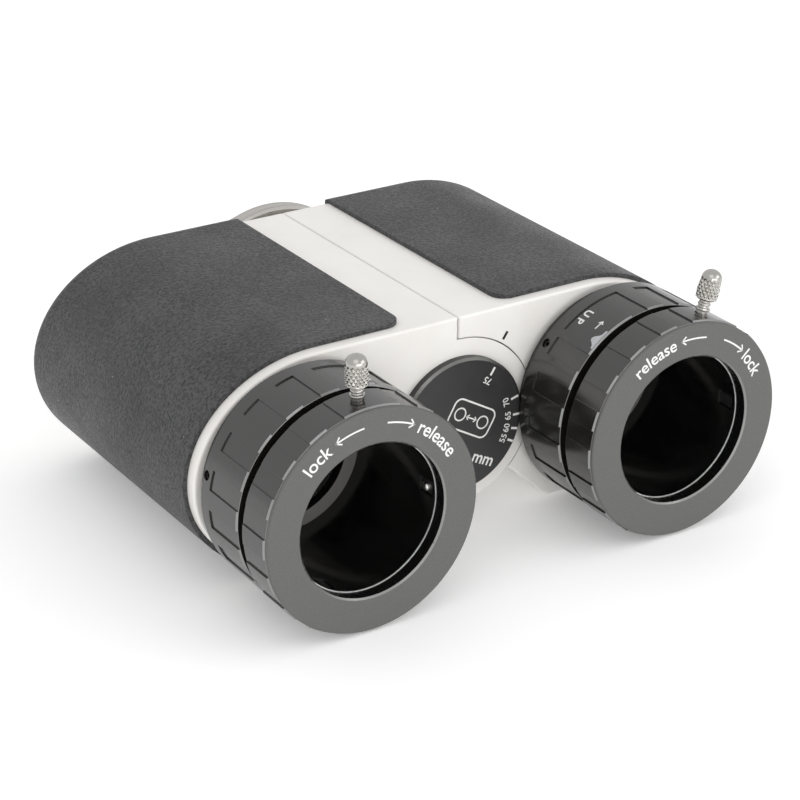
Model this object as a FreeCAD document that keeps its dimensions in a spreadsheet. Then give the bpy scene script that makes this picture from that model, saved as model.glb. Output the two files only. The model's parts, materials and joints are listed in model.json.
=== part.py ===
"""Binocular viewer for a telescope: two hinged halves, each with an eyepiece holder.

Directions: +X to the right seen from the eyepieces, +Z up, +Y towards the telescope.
The origin is on the hinge axis, which is also the optical axis of the telescope, in the
plane of the telescope ring's shoulder. A "station" is a distance in front of that plane,
towards the eyepieces, so a station is -Y. Turned parts and the housings are drawn in a
frame of their own, x right, y up and z forward, and their Placement turns it upright.
"""
import FreeCAD, Part
import math
import os

import Sketcher
from FreeCAD import Placement, Rotation, Vector

DRIVING = {
    # overall layout
    "arm_length": 37.5,            # hinge axis to eyepiece axis
    "half_height": 23.6,           # housing, axis to top face
    "half_depth": 23.1,            # housing, axis to bottom face
    "end_offset": 32.7,            # hinge axis to where the rounded end begins
    "end_reach": 28.6,             # how far the half-elliptical end reaches beyond that
    "seam_gap": 0.15,              # each half stops this far short of the middle plane
    "wall": 2.4,
    "back_rounding": 3.0,
    "front_break": 0.5,
    "seam_break": 0.35,
    "leather": 1.0,                # thickness of the covering
    "leather_inner_top": 11.6,     # its inner edge on the top face
    "leather_inner_bottom": 26.5,  # its inner edge on the bottom face
    "leather_corner": 3.6,
    # stations along the axis
    "back_face": 5.6,
    "leather_back": 6.5,
    "leather_front": 75.5,
    "front_inside": 75.1,
    "front_face": 78.1,
    # notch under the hinge
    "notch_top_x": 13.0,
    "notch_top_y": 13.3,
    "notch_foot_x": 22.2,
    "notch_foot_y": 21.9,
    "notch_toe_x": 24.3,
    "cavity_inboard": 8.0,
    # hinge
    "hub_radius": 18.65,
    "hub_relief": 18.9,            # concave clearance round the other half's hub
    "relief_wall": 21.2,
    "bearing_outer": 16.4,
    "bearing_inner": 14.6,
    "running_gap": 0.05,
    "barrel_back": 4.2,
    "barrel_open": 10.6,
    "barrel_front": 43.6,
    "knuckle_back": 44.6,
    "knuckle_front": 73.2,
    "hub_plate_back": 73.5,
    "end_wall": 2.2,
    "rear_bearing_back": 38.0,
    "rear_bearing_front": 47.7,
    "front_bearing_back": 68.4,
    "front_bearing_front": 76.0,
    # scale dial on the hinge
    "dial_radius": 15.0,
    "dial_front": 80.05,
    "dial_boss": 12.0,
    "dial_edge": 0.5,
    # back covers
    "cover_back": 5.9,
    "cover_front": 8.1,
    "cover_gap": 0.1,
    "post_radius": 2.8,
    "post_x": 30.0,
    "post_y": 18.7,
    "post_low_y": 18.2,
    "post_end_x": 56.4,
    "post_front": 19.5,
    "screw_head": 2.0,
    "screw_shank": 1.2,
    # telescope ring
    "flange_radius": 23.4,
    "flange_front": 4.2,
    "thread_radius": 20.95,
    "thread_length": 5.0,
    "ring_bore": 13.5,
    "spigot_radius": 16.35,
    "spigot_front": 9.8,
    # prisms
    "glass": 20.0,                 # square section of every prism
    "left_prism_back": 12.0,
    "right_prism_back": 48.0,
    "compensator_back": 36.0,
    "glue_gap": 0.02,
    # eyepiece holder, radii
    "socket_radius": 16.0,
    "lip_radius": 16.1,
    "stop_radius": 12.5,
    "sleeve_outer": 17.4,
    "base_outer": 18.2,
    "base_flange": 22.2,
    "base_seat": 18.8,
    "flange_lift": 0.25,           # the flange stands this far off the housing face
    "collar_radius": 23.6,
    "land_radius": 23.8,
    "flute_depth": 0.28,
    "seat_radius": 19.0,
    "shoulder_radius": 20.5,
    # eyepiece holder, stations
    "sleeve_back": 72.6,
    "socket_floor": 74.2,
    "base_back": 74.0,
    "base_flange_front": 80.1,
    "base_front": 88.0,
    "collar_back": 80.35,
    "collar_flute_back": 83.7,
    "collar_front": 94.5,
    "sleeve_shoulder": 94.9,
    "lock_back": 96.7,
    "sleeve_front": 102.7,
    "lock_front": 105.1,
    "face": 105.75,
    "face_bevel": 0.35,            # on the mouth of the face ring
    # clamp
    "pad_width": 3.2,
    "pad_back": 97.35,
    "pad_front": 101.45,
    "pad_angle": 2.0,
    "cam_radius": 18.2,
    "cam_offset": 1.4,
    "lever_station": 100.8,
    "lever_angle_left": 91.5,
    "lever_angle_right": 74.0,
    "flute_width": 10.0,
    "flute_pitch": 20.0,
    "panel_angle_left": 69.0,
    "panel_angle_right": 117.5,
    "panel_width": 25.0,
    "grub_offset": 23.2,
    "grub_station": 81.9,
}


class Size:
    """A dimension that carries its value and the sheet expression it comes from."""

    def __init__(self, value, text):
        self.value = value
        self.text = text

    def combine(self, other, sign, value):
        return Size(value, "(%s %s %s)" % (self.text, sign, size(other).text))

    def __add__(self, other):
        return self.combine(other, "+", self.value + size(other).value)

    def __radd__(self, other):
        return size(other) + self

    def __sub__(self, other):
        return self.combine(other, "-", self.value - size(other).value)

    def __rsub__(self, other):
        return size(other) - self

    def __mul__(self, other):
        return self.combine(other, "*", self.value * size(other).value)

    def __rmul__(self, other):
        return size(other) * self

    def __truediv__(self, other):
        return self.combine(other, "/", self.value / size(other).value)

    def __neg__(self):
        return size(0) - self


def size(number):
    """A Size from a plain number; a Size is returned as it is."""
    if isinstance(number, Size):
        return number
    return Size(float(number), "%g" % number)


def along(length, degrees):
    """The x and y of a point at a length from the axis and an angle in degrees."""
    length, degrees = size(length), size(degrees)
    angle = math.radians(degrees.value)
    across = Size(length.value * math.cos(angle), "(%s * cos(%s * 1 deg))" % (length.text, degrees.text))
    upward = Size(length.value * math.sin(angle), "(%s * sin(%s * 1 deg))" % (length.text, degrees.text))
    return across, upward


class Dimensions:
    """The driving dimensions, one attribute each, kept in the document's sheet."""

    def __init__(self, doc, values):
        sheet = doc.addObject("Spreadsheet::Sheet", "dims")
        for row, (name, value) in enumerate(values.items(), start=1):
            sheet.set("A%d" % row, name)
            sheet.set("B%d" % row, "%g" % value)
            sheet.setAlias("B%d" % row, name)
            setattr(self, name, Size(value, "dims." + name))
        doc.recompute()


doc = FreeCAD.newDocument("binocular_viewer")
d = Dimensions(doc, DRIVING)

UPRIGHT = Rotation(Vector(1, 0, 0), 90)
LEFT, RIGHT = -1, 1
SIDES = {"left": LEFT, "right": RIGHT}
parts = []


# ---------------------------------------------------------------- sketches and features

def bind(item, prop, amount):
    """Bind a property to a Size, or to a plain number."""
    item.setExpression(prop, size(amount).text)


def in_front(x=0, turn=0.0):
    """Placement of a turned part: its axis at x, turned about that axis in degrees."""
    return Placement(Vector(size(x).value, 0, 0), UPRIGHT * Rotation(Vector(0, 0, 1), turn))


def new_body(name, place):
    body = doc.addObject("PartDesign::Body", name)
    body.Label = name
    body.Placement = place
    return body


def new_sketch(body, role, height=0, turn=0.0):
    """A sketch on an origin plane, turned about its Y axis and raised along its normal."""
    sketch = body.newObject("Sketcher::SketchObject", body.Name + "_sketch")
    plane = [item for item in body.Origin.OriginFeatures if item.Role == role][0]
    sketch.AttachmentSupport = [(plane, "")]
    sketch.MapMode = "FlatFace"
    sketch.AttachmentOffset = Placement(Vector(), Rotation(Vector(0, 1, 0), turn))
    outward, sideways = along(height, turn)
    bind(sketch, "AttachmentOffset.Base.x", sideways)
    bind(sketch, "AttachmentOffset.Base.z", outward)
    return sketch


def pin_down(sketch, index, point, x, y):
    """Dimension one point of a sketch from the sketch's origin."""
    for kind, amount in (("DistanceX", size(x)), ("DistanceY", size(y))):
        number = sketch.addConstraint(Sketcher.Constraint(kind, -1, 1, index, point, amount.value))
        sketch.setExpression("Constraints[%d]" % number, amount.text)


def draw_outline(sketch, points):
    """A closed outline of straight edges, every corner dimensioned."""
    corners = [Vector(size(x).value, size(y).value, 0) for x, y in points]
    first = sketch.GeometryCount
    count = len(corners)
    for index in range(count):
        sketch.addGeometry(Part.LineSegment(corners[index], corners[(index + 1) % count]), False)
    for index in range(count):
        follower = first + (index + 1) % count
        sketch.addConstraint(Sketcher.Constraint("Coincident", first + index, 2, follower, 1))
    for index, (x, y) in enumerate(points):
        pin_down(sketch, first + index, 1, x, y)


def draw_bowed_outline(sketch, points, bowed, reach):
    """A closed outline whose edge number bowed is half an ellipse instead of a straight edge.

    That edge runs upright between its two corners, and the ellipse bows out sideways from
    it by reach: to the right where reach is positive, to the left where it is negative.
    """
    count = len(points)
    corners = [Vector(size(x).value, size(y).value, 0) for x, y in points]
    order = [(bowed + 1 + step) % count for step in range(count - 1)]
    for index in order:
        sketch.addGeometry(Part.LineSegment(corners[index], corners[(index + 1) % count]), False)
    for line in range(count - 2):
        sketch.addConstraint(Sketcher.Constraint("Coincident", line, 2, line + 1, 1))
    for line, index in enumerate(order):
        pin_down(sketch, line, 1, *points[index])
    pin_down(sketch, count - 2, 2, *points[bowed])

    first, last = corners[bowed], corners[(bowed + 1) % count]
    middle = (first + last) / 2
    outward = Vector(size(reach).value, 0, 0)
    upright = Vector(0, 0, 1).cross(outward).normalize() * (first.distanceToPoint(last) / 2)
    ellipse = Part.Ellipse(middle + outward, middle + upright, middle)
    arc = sketch.addGeometry(Part.ArcOfEllipse(ellipse, -math.pi / 2, math.pi / 2), False)
    begins_at_first = first.distanceToPoint(middle - upright) < last.distanceToPoint(middle - upright)
    sketch.addConstraint(Sketcher.Constraint("Coincident", count - 2, 2, arc, 1 if begins_at_first else 2))
    sketch.addConstraint(Sketcher.Constraint("Coincident", 0, 1, arc, 2 if begins_at_first else 1))
    sketch.exposeInternalGeometry(arc)
    long_axis = arc + 1
    sketch.addConstraint(Sketcher.Constraint("Horizontal", long_axis))
    number = sketch.addConstraint(Sketcher.Constraint("Distance", long_axis, 2 * abs(size(reach).value)))
    width = 2 * (reach if size(reach).value > 0 else -reach)
    sketch.setExpression("Constraints[%d]" % number, width.text)
    number = sketch.addConstraint(Sketcher.Constraint("DistanceX", -1, 1, arc, 3, middle.x))
    sketch.setExpression("Constraints[%d]" % number, size(points[bowed][0]).text)


def draw_circle(sketch, x, y, radius):
    circle = Part.Circle(Vector(size(x).value, size(y).value, 0), Vector(0, 0, 1), size(radius).value)
    index = sketch.addGeometry(circle, False)
    pin_down(sketch, index, 3, x, y)
    number = sketch.addConstraint(Sketcher.Constraint("Radius", index, size(radius).value))
    sketch.setExpression("Constraints[%d]" % number, size(radius).text)


def add_feature(body, kind, sketch, **values):
    """Add a sketch-based feature and bind its sizes."""
    feature = body.newObject("PartDesign::" + kind, body.Name + "_" + kind.lower())
    feature.Profile = sketch
    for prop, amount in values.items():
        if isinstance(amount, (Size, float, int)) and not isinstance(amount, bool):
            bind(feature, prop, amount)
        else:
            setattr(feature, prop, amount)
    return feature


def pad_outline(body, points, start, end, role="XY_Plane"):
    sketch = new_sketch(body, role, size(start))
    draw_outline(sketch, points)
    return add_feature(body, "Pad", sketch, Length=end - start)


def pad_bowed_outline(body, points, bowed, reach, start, end):
    sketch = new_sketch(body, "XY_Plane", size(start))
    draw_bowed_outline(sketch, points, bowed, reach)
    return add_feature(body, "Pad", sketch, Length=end - start)


def pad_circle(body, x, y, radius, start, end):
    sketch = new_sketch(body, "XY_Plane", size(start))
    draw_circle(sketch, x, y, radius)
    return add_feature(body, "Pad", sketch, Length=end - start)


def pocket_outline(body, points, start, end):
    """Cut an outline out of a body between two stations."""
    sketch = new_sketch(body, "XY_Plane", size(end))
    draw_outline(sketch, points)
    return add_feature(body, "Pocket", sketch, Length=end - start)


def pocket_circle(body, x, y, radius, start, end):
    sketch = new_sketch(body, "XY_Plane", size(end))
    draw_circle(sketch, x, y, radius)
    return add_feature(body, "Pocket", sketch, Length=end - start)


def radial_hole(body, radius, station, turn=0.0, reach=40.0):
    """A hole from the axis outwards along x, turned about the axis."""
    sketch = new_sketch(body, "YZ_Plane", 0, turn)
    draw_circle(sketch, 0, station, radius)
    return add_feature(body, "Pocket", sketch, Length=reach, Reversed=True)


def repeat_round(body, feature, count, step):
    """Repeat a feature round the body's z axis and make the result the tip."""
    pattern = body.newObject("PartDesign::PolarPattern", body.Name + "_pattern")
    pattern.Originals = [feature]
    axis = [item for item in body.Origin.OriginFeatures if item.Role == "Z_Axis"][0]
    pattern.Axis = (axis, [""])
    pattern.Occurrences = count
    pattern.Mode = "Extent"
    bind(pattern, "Angle", step * (count - 1) if step * count != 360 else 360)
    body.Tip = pattern
    return pattern


def turned(name, outline, place):
    """A body of revolution: an outline of (radius, station) corners turned about its axis."""
    body = new_body(name, place)
    sketch = new_sketch(body, "XZ_Plane")
    draw_outline(sketch, outline)
    add_feature(body, "Revolution", sketch, ReferenceAxis=(sketch, ["V_Axis"]), Angle=360)
    return body


def tube_outline(inner, outer, back, front):
    return [(inner, back), (outer, back), (outer, front), (inner, front)]


def cylinder(name, radius, start, end, x=0, y=0):
    """A plain cylinder along the axis between two stations."""
    item = doc.addObject("Part::Cylinder", name)
    bind(item, "Radius", radius)
    bind(item, "Height", end - start)
    item.Placement = Placement(Vector(0, 0, 0), UPRIGHT)
    bind(item, "Placement.Base.x", x)
    bind(item, "Placement.Base.y", -size(start))
    bind(item, "Placement.Base.z", y)
    return item


def fuse(name, items):
    item = doc.addObject("Part::MultiFuse", name)
    item.Shapes = items
    return item


def cut(name, base, tools):
    item = doc.addObject("Part::Cut", name)
    item.Base = base
    item.Tool = tools[0] if len(tools) == 1 else fuse(name + "_tools", tools)
    return item


def keep(item, name=None):
    """Register a finished sub-part under its own label."""
    item.Label = name or item.Name
    parts.append(item)
    return item


# ---------------------------------------------------------------- housings

def edges_where(shape, test):
    """The names of a shape's edges whose bounding box passes a test."""
    return ["Edge%d" % number for number, edge in enumerate(shape.Edges, start=1) if test(edge.BoundBox)]


def near_to(value, target):
    return abs(value - target) < 0.01


def round_edges(body, label, test, radius):
    """Add a fillet along the edges of a body that pass a test."""
    doc.recompute()
    block = body.Tip
    rounded = body.newObject("PartDesign::Fillet", label)
    rounded.Base = (block, edges_where(block.Shape, test))
    bind(rounded, "Radius", radius)


def half_block(name, side, grow, back, front, rounding, break_edges=False):
    """The closed outer form of one half, grown outwards, its back edges rounded.

    With break_edges, its front edges and the top edge along the seam are broken too.
    """
    top = d.half_height + grow
    low = -(d.half_depth + grow)
    body = new_body(name, in_front())
    outline = [
        (side * d.seam_gap, top),
        (side * d.end_offset, top),
        (side * d.end_offset, low),
        (side * d.notch_toe_x, low),
        (side * d.notch_foot_x, -d.notch_foot_y),
        (side * d.notch_top_x, -d.notch_top_y),
        (side * d.seam_gap, 0),
    ]
    pad_bowed_outline(body, outline, 1, side * (d.end_reach + grow), back, front)
    level, height, depth = size(back).value, top.value, low.value

    def on_a_face(y):
        return near_to(y, height) or near_to(y, depth)

    def back_rim(box):
        at_back = near_to(box.ZMin, level) and near_to(box.ZMax, level)
        return at_back and on_a_face(box.YMin) and on_a_face(box.YMax)

    round_edges(body, name + "_rounding", back_rim, rounding)
    if break_edges:
        ahead = size(front).value

        def front_rim(box):
            return near_to(box.ZMin, ahead) and near_to(box.ZMax, ahead)

        def seam(box):
            along_seam = box.ZMax - box.ZMin > 20 and near_to(abs(box.XMin), d.seam_gap.value)
            return along_seam and near_to(box.YMin, height) and near_to(abs(box.XMax), d.seam_gap.value)

        round_edges(body, name + "_seam_break", seam, d.seam_break)
        round_edges(body, name + "_front_break", front_rim, d.front_break)
    return body


def cavity_block(name, side, shrink, back, front):
    """The inside of one half: its outline drawn in by the wall thickness."""
    inset = d.wall + shrink
    top = d.half_height - inset
    low = inset - d.half_depth
    body = new_body(name, in_front())
    outline = [
        (side * d.cavity_inboard, top),
        (side * d.end_offset, top),
        (side * d.end_offset, low),
        (side * (d.notch_toe_x + 0.8), low),
        (side * (d.notch_foot_x + 1.6 + shrink), -(d.notch_foot_y - 1.75 - shrink)),
        (side * (d.notch_top_x + 1.6 + shrink), -(d.notch_top_y - 1.75 - shrink)),
        (side * d.cavity_inboard, -5.4),
    ]
    pad_bowed_outline(body, outline, 1, side * (d.end_reach - inset), back, front)
    return body


def post_places(side):
    """Where the three cover posts of a half stand."""
    return [
        (side * d.post_x, d.post_y),
        (side * d.post_x, -d.post_low_y),
        (side * d.post_end_x, size(0)),
    ]


def post_set(name, side):
    """Three posts along the cavity wall, drilled for the cover screws."""
    posts = []
    for number, (x, y) in enumerate(post_places(side), start=1):
        label = "%s_post_%d" % (name, number)
        solid = cylinder(label, d.post_radius, d.cover_front, d.post_front, x, y)
        hole = cylinder(label + "_hole", d.screw_shank + 0.05, d.cover_front, d.cover_front + 8.5, x, y)
        posts.append(cut(label + "_drilled", solid, [hole]))
    return posts


def hollow_housing(name, side, discs, reliefs, openings):
    """One half's casting: block, hub discs and reliefs outside, cavity and posts inside.

    Each disc, relief and opening is (radius, back station, front station) on the hinge.
    """
    block = half_block(name + "_block", side, size(0), d.back_face, d.front_face, d.back_rounding, True)
    relief_tools = [
        cylinder("%s_relief_%d" % (name, number), *relief)
        for number, relief in enumerate(reliefs, start=1)
    ]
    hub = [
        cylinder("%s_hub_%d" % (name, number), *disc)
        for number, disc in enumerate(discs, start=1)
    ]
    outside = fuse(name + "_outside", [cut(name + "_relieved", block, relief_tools)] + hub)

    room = cavity_block(name + "_room", side, size(0), d.back_face - 1, d.front_inside)
    walls = []
    for number, (back, front) in enumerate(solid_stretches(side), start=1):
        walls.append(cylinder("%s_kept_%d" % (name, number), d.relief_wall, back, front))
    walls += post_set(name, side)
    hollow = [cut(name + "_hollow", room, walls)]
    for number, opening in enumerate(openings, start=1):
        hollow.append(cylinder("%s_opening_%d" % (name, number), *opening))
    eyepiece_x = side * d.arm_length
    hollow.append(cylinder(name + "_eyepiece_hole", d.base_outer + 0.05,
                           d.sleeve_back - 2, d.front_face + 1, eyepiece_x))
    for number, (x, y) in enumerate(base_screw_places(side), start=1):
        hollow.append(cylinder("%s_base_hole_%d" % (name, number), 0.85,
                               d.front_inside - 1, d.front_face + 1, x, y))
    keep(cut(name, outside, hollow))


def solid_stretches(side):
    """Stations where the cavity stays outside the relief wall round the hinge."""
    if side == LEFT:
        return [(d.barrel_front - d.end_wall, d.front_face)]
    return [(size(0), d.knuckle_back + d.end_wall), (d.knuckle_front - d.end_wall, d.front_face)]


def base_screw_places(side):
    """Three screws on a circle round the eyepiece axis, clear of the hinge."""
    places = []
    for angle in (60, 180, 300):
        x, y = along(20.3, angle)
        places.append((side * (d.arm_length - x), y))
    return places


def make_housings():
    bore = d.bearing_outer
    hollow_housing(
        "left_housing", LEFT,
        discs=[(d.hub_radius, d.barrel_back, d.barrel_front),
               (d.hub_radius, d.hub_plate_back, d.front_face)],
        reliefs=[(d.hub_relief, d.barrel_front, d.hub_plate_back)],
        openings=[(bore, d.barrel_back - 1, d.barrel_front + 1),
                  (bore, d.hub_plate_back - 1, d.front_bearing_front),
                  (d.dial_boss, d.front_bearing_front - 1, d.front_face + 1)])
    hollow_housing(
        "right_housing", RIGHT,
        discs=[(d.hub_radius, d.knuckle_back, d.knuckle_front)],
        reliefs=[(d.hub_relief, d.back_face - 1, d.knuckle_back),
                 (d.hub_relief, d.knuckle_front, d.front_face + 1)],
        openings=[(bore + d.running_gap, d.knuckle_back - 1, d.knuckle_front + 1)])


def make_covers():
    """Inset plates that close the back of each half, and their screws."""
    for word, side in SIDES.items():
        name = word + "_back_cover"
        plate = cavity_block(name + "_plate", side, d.cover_gap, d.cover_back, d.cover_front)
        clear = d.hub_radius + d.cover_gap if side == LEFT else d.relief_wall + d.cover_gap
        tools = [cylinder(name + "_hub", clear, d.cover_back - 1, d.cover_front + 1)]
        head_floor = d.cover_back + 1.4
        for number, (x, y) in enumerate(post_places(side), start=1):
            tools.append(cylinder("%s_sink_%d" % (name, number), d.screw_head + 0.1,
                                  d.cover_back - 1, head_floor, x, y))
            tools.append(cylinder("%s_hole_%d" % (name, number), d.screw_shank + 0.1,
                                  d.cover_back, d.cover_front + 1, x, y))
        keep(cut(name, plate, tools))
        screws = []
        for number, (x, y) in enumerate(post_places(side), start=1):
            label = "%s_cover_screw_%d" % (word, number)
            head = cylinder(label + "_head", d.screw_head, d.cover_back + 0.1, head_floor, x, y)
            socket = cylinder(label + "_socket", 0.9, d.cover_back - 1, d.cover_back + 0.9, x, y)
            shank = cylinder(label + "_shank", d.screw_shank, head_floor, d.cover_front + 8, x, y)
            screws.append(fuse(label, [cut(label + "_cap", head, [socket]), shank]))
        group = doc.addObject("Part::Compound", word + "_cover_screws")
        group.Links = screws
        keep(group)


def make_coverings():
    """The leather-grained covering of each half, wrapped round the top, end and bottom."""
    for word, side in SIDES.items():
        name = word + "_leather"
        outer = half_block(name + "_outer", side, d.leather, d.back_face - d.leather,
                           d.front_face, d.back_rounding + d.leather)
        inner = half_block(name + "_inner", side, size(0), d.back_face, d.front_face + 1, d.back_rounding)
        patch = new_body(name + "_patch", Placement())
        far = side * (d.end_offset + d.end_reach + 5)
        top = d.half_height + 5
        near = side * d.leather_inner_top
        outline = [(near, -d.leather_front), (near, -d.leather_back), (far, -d.leather_back), (far, -d.leather_front)]
        pad_outline(patch, outline, size(0), top)
        round_corners(patch, near.value, -d.leather_front.value, d.leather_corner)
        low = side * d.leather_inner_bottom
        lower = new_body(name + "_lower", Placement())
        outline = [(low, -d.leather_front), (low, -d.leather_back), (far, -d.leather_back), (far, -d.leather_front)]
        pad_outline(lower, outline, -top, size(0))
        round_corners(lower, low.value, -d.leather_front.value, d.leather_corner)
        shell = cut(name + "_shell", outer, [inner])
        common = doc.addObject("Part::MultiCommon", name)
        common.Shapes = [shell, fuse(name + "_region", [patch, lower])]
        keep(common)


def round_corners(body, x, y, radius):
    """Round the upright edge of a body that stands at x, y."""

    def upright(box):
        return near_to(box.XMin, x) and near_to(box.XMax, x) and near_to(box.YMin, y) and near_to(box.YMax, y)

    round_edges(body, body.Name + "_corner", upright, radius)


# ---------------------------------------------------------------- hinge and telescope side

def make_hinge():
    gap = d.running_gap
    keep(turned("rear_bearing", tube_outline(d.bearing_inner, d.bearing_outer,
                                             d.rear_bearing_back, d.rear_bearing_front), in_front()))
    keep(turned("front_bearing", tube_outline(d.bearing_inner, d.bearing_outer,
                                              d.front_bearing_back, d.front_bearing_front), in_front()))
    keep(turned("friction_washer", tube_outline(d.bearing_outer + gap, d.hub_radius - 0.2,
                                                d.barrel_front, d.knuckle_back - 0.1), in_front()))
    rim = d.dial_radius
    keep(turned("scale_dial", [
        (size(0), d.dial_front - 1.2),
        (d.dial_boss - 2, d.dial_front - 1.2),
        (d.dial_boss - 2, d.front_bearing_front - 3),
        (d.dial_boss - gap, d.front_bearing_front - 3),
        (d.dial_boss - gap, d.front_face),
        (rim, d.front_face),
        (rim, d.dial_front - d.dial_edge),
        (rim - d.dial_edge, d.dial_front),
        (size(0), d.dial_front),
    ], in_front()))
    nut = new_body("dial_nut", in_front())
    pad_circle(nut, 0, 0, d.bearing_inner - 0.3, d.front_bearing_front - 2.6, d.front_bearing_front)
    pocket_circle(nut, 0, 0, d.dial_boss, d.front_bearing_front - 3, d.front_bearing_front + 1)
    slot = pocket_outline(nut, [(d.dial_boss - 1, -0.8), (d.bearing_inner, -0.8), (d.bearing_inner, 0.8),
                                (d.dial_boss - 1, 0.8)],
                          d.front_bearing_front - 3, d.front_bearing_front - 1.4)
    repeat_round(nut, slot, 4, 90)
    keep(nut)


def make_telescope_ring():
    ring = turned("telescope_ring", [
        (d.ring_bore, -d.thread_length),
        (d.thread_radius - 0.5, -d.thread_length),
        (d.thread_radius, -d.thread_length + 0.5),
        (d.thread_radius, 0),
        (d.flange_radius - 0.4, 0),
        (d.flange_radius, 0.4),
        (d.flange_radius, d.flange_front - 0.4),
        (d.flange_radius - 0.4, d.flange_front),
        (d.spigot_radius, d.flange_front),
        (d.spigot_radius, d.spigot_front),
        (d.ring_bore, d.spigot_front),
    ], in_front())
    keep(ring)
    baffle = turned("entrance_baffle", [
        (size(10), d.spigot_front + 0.2),
        (d.bearing_outer - 0.1, d.spigot_front + 0.2),
        (d.bearing_outer - 0.1, d.spigot_front + 1.4),
        (size(10.6), d.spigot_front + 1.4),
    ], in_front())
    keep(baffle)


# ---------------------------------------------------------------- optics

def prism(name, corners):
    """A prism of square section: a plan outline of (x, station) corners, glass thick."""
    body = new_body(name, Placement())
    pad_outline(body, [(x, -size(station)) for x, station in corners], -d.glass / 2, d.glass / 2)
    return keep(body)


def make_optics():
    half = d.glass / 2
    near, far = d.arm_length - half, d.arm_length + half
    back = d.left_prism_back
    prism("left_prism", [(half, back), (-near, back), (-far, back + d.glass), (-half, back + d.glass)])
    glue = d.glue_gap
    prism("splitter_wedge", [(half + glue, back + glue), (half + glue, back + d.glass + glue),
                             (-half + glue, back + d.glass + glue)])
    back = d.right_prism_back
    prism("right_prism", [(-half, back), (near, back), (far, back + d.glass), (half, back + d.glass)])
    back = d.compensator_back
    prism("compensator", [(-far, back), (-near, back), (-near, back + d.glass), (-far, back + d.glass)])


def make_prism_cells():
    """A floor with two walls under each prism, a clamp plate across them, and its screws."""
    half = d.glass / 2
    floor_top = -half - 0.1
    floor_low = floor_top - 3
    clamp_low = half + 0.1
    for word, side in SIDES.items():
        back = d.left_prism_back if side == LEFT else d.right_prism_back
        name = word + "_prism_cell"
        body = new_body(name, Placement())
        near, far = side * size(18.5), side * (d.arm_length + half - 1)
        floor = [(near, -(back + 0.5)),
                 (side * (d.arm_length - half), -(back + 0.5)),
                 (far, -(back + d.glass - 0.5)),
                 (near, -(back + d.glass - 0.5))]
        pad_outline(body, floor, floor_low, floor_top)
        x_near, x_far = side * size(21.8), side * size(26.9)
        walls = [(back - 3.2, back - 0.2), (back + d.glass + 0.2, back + d.glass + 3.2)]
        for first, last in walls:
            wall = [(x_near, -first), (x_far, -first), (x_far, -last), (x_near, -last)]
            pad_outline(body, wall, floor_low, clamp_low)
        bridge = [(x_near, -(back - 3.2)), (x_far, -(back - 3.2)),
                  (x_far, -(back + d.glass + 3.2)), (x_near, -(back + d.glass + 3.2))]
        pad_outline(body, bridge, floor_low, floor_top)
        foot_low = d.wall - d.half_depth
        foot = [(side * size(27.5), -(back + 9)), (side * size(32.5), -(back + 9)),
                (side * size(32.5), -(back + 18)), (side * size(27.5), -(back + 18))]
        pad_outline(body, foot, foot_low, floor_low + 0.5)
        keep(body)

        strip = new_body(word + "_prism_clamp", Placement())
        pad_outline(strip, bridge, clamp_low, clamp_low + 1.5)
        keep(strip)
        screws = []
        for number, station in enumerate((back - 1.7, back + d.glass + 1.7), start=1):
            label = "%s_clamp_screw_%d" % (word, number)
            x = side * size(24.35)
            head = upright_cylinder(label + "_head", 1.7, clamp_low + 1.5, clamp_low + 2.7, x, -station)
            socket = upright_cylinder(label + "_socket", 0.8, clamp_low + 2, clamp_low + 3, x, -station)
            screws.append(cut(label, head, [socket]))
        group = doc.addObject("Part::Compound", word + "_clamp_screws")
        group.Links = screws
        keep(group)


def upright_cylinder(name, radius, low, high, x, y):
    """A plain cylinder along z between two heights."""
    item = doc.addObject("Part::Cylinder", name)
    bind(item, "Radius", radius)
    bind(item, "Height", high - low)
    bind(item, "Placement.Base.x", x)
    bind(item, "Placement.Base.y", y)
    bind(item, "Placement.Base.z", low)
    return item


def make_compensator_cell():
    """A square frame round the compensating block, standing on the housing floor."""
    half = d.glass / 2
    body = new_body("compensator_cell", in_front(-d.arm_length))
    outer, inner = half + 2, half + 0.1
    start, end = d.compensator_back + 4, d.compensator_back + 16
    frame = [(-outer, -outer), (outer, -outer), (outer, outer), (-outer, outer)]
    pad_outline(body, frame, start, end)
    low = d.wall - d.half_depth
    foot = [(size(5), low), (outer - 1, low), (outer - 1, -outer), (size(5), -outer)]
    pad_outline(body, foot, start + 2, end - 2)
    window = [(-inner, -inner), (inner, -inner), (inner, inner), (-inner, inner)]
    pocket_outline(body, window, start - 1, end + 1)
    keep(body)


# ---------------------------------------------------------------- eyepiece holders

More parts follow.
